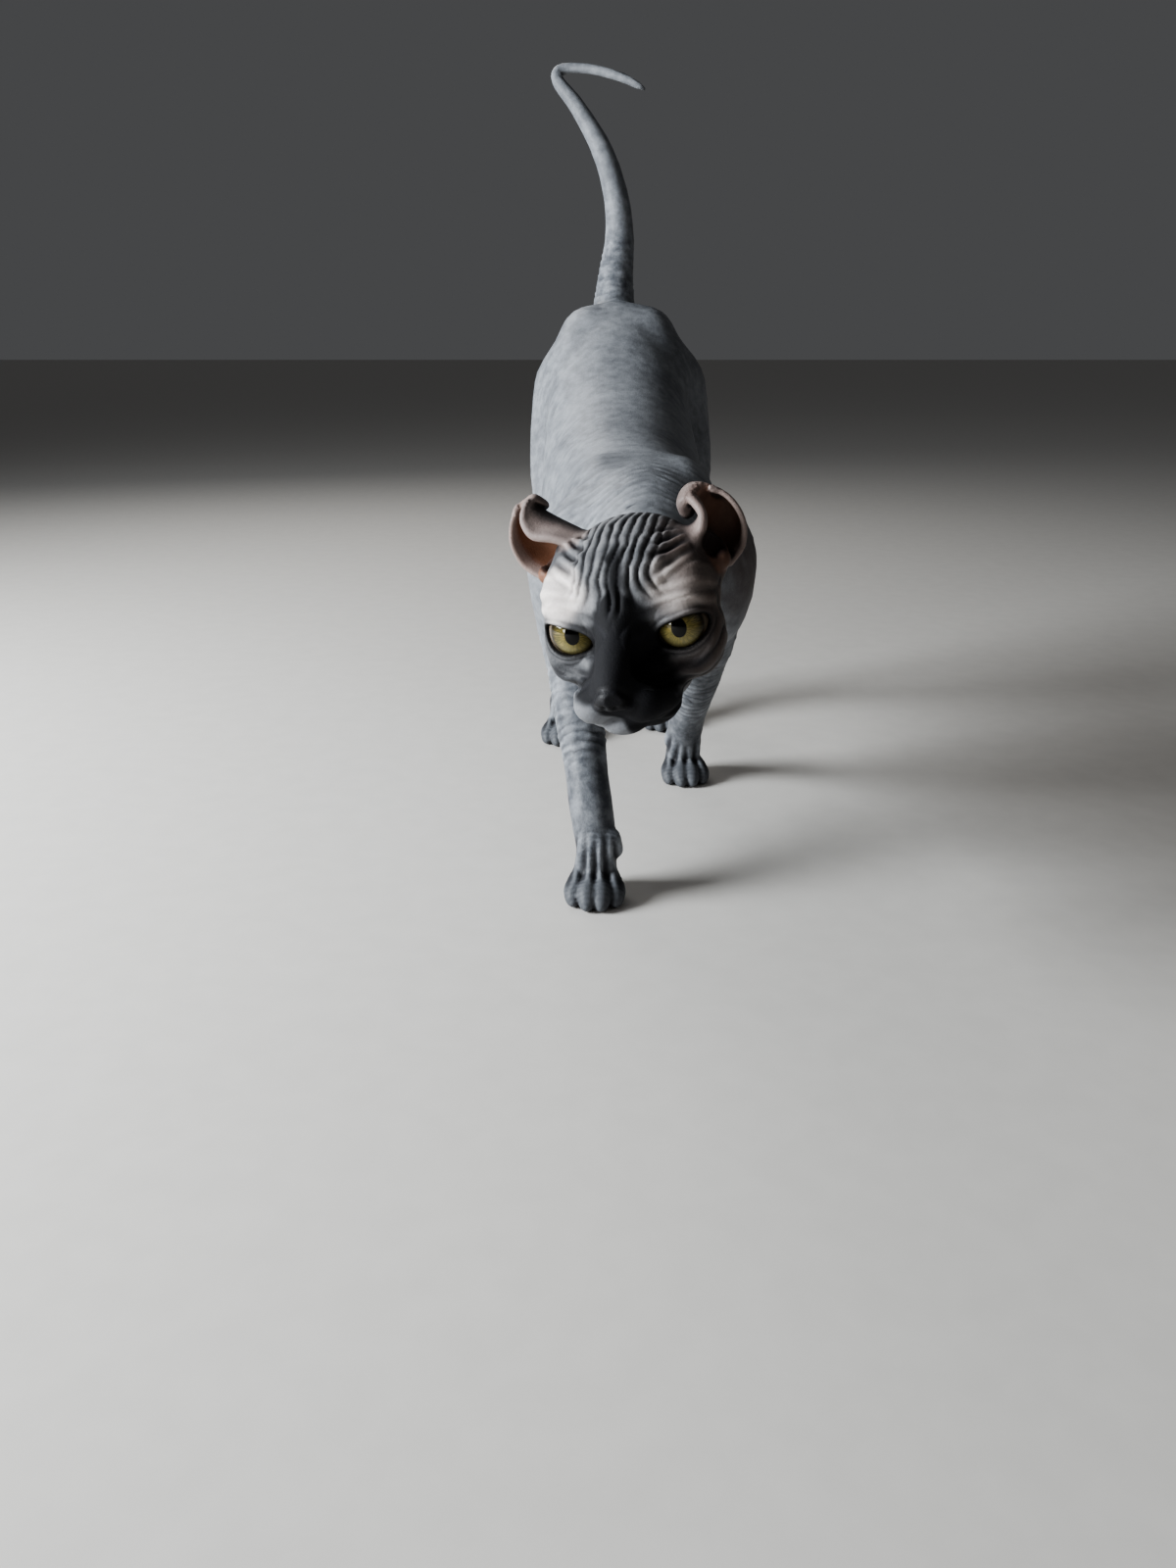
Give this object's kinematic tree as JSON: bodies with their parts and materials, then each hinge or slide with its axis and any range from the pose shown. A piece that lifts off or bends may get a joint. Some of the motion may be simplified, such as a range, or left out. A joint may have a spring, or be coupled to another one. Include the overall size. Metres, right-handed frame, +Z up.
{
  "type": "sphynx cat",
  "caption": "Life-size still model of a hairless wrinkled cat with curled-back ears, walking with its head low and its tail raised.",
  "frame": {"origin": "middle of the whole box at floor level, under the belly", "axes": "+Z up, -Y the way the cat faces and walks, +X towards the cat's own left side"},
  "size_m": [0.1288, 0.5094, 0.4599],
  "materials": {
    "skin": "bare slate-grey suede-like skin with fine wrinkles and pale patches",
    "paw_skin": "dark grey wrinkled skin of the paws",
    "ear_skin": "thin pinkish-brown ear skin, smooth and slightly waxy",
    "eye": "wet yellow-green eye with a dark pupil"
  },
  "bodies": {
    "root": {"head": "skin", "neck": "skin", "chest": "skin", "belly": "skin", "rump": "skin", "tail_base": "skin", "tail_middle": "skin", "tail_tip": "skin", "foreleg_right": "skin", "foreleg_left": "skin", "hindleg_right": "skin", "hindleg_left": "skin", "forepaw_right": "paw_skin", "forepaw_left": "paw_skin", "hindfoot_right": "paw_skin", "hindfoot_left": "paw_skin", "ear_right": "ear_skin", "ear_left": "ear_skin", "eye_right": "eye", "eye_left": "eye"}
  },
  "joints": []
}
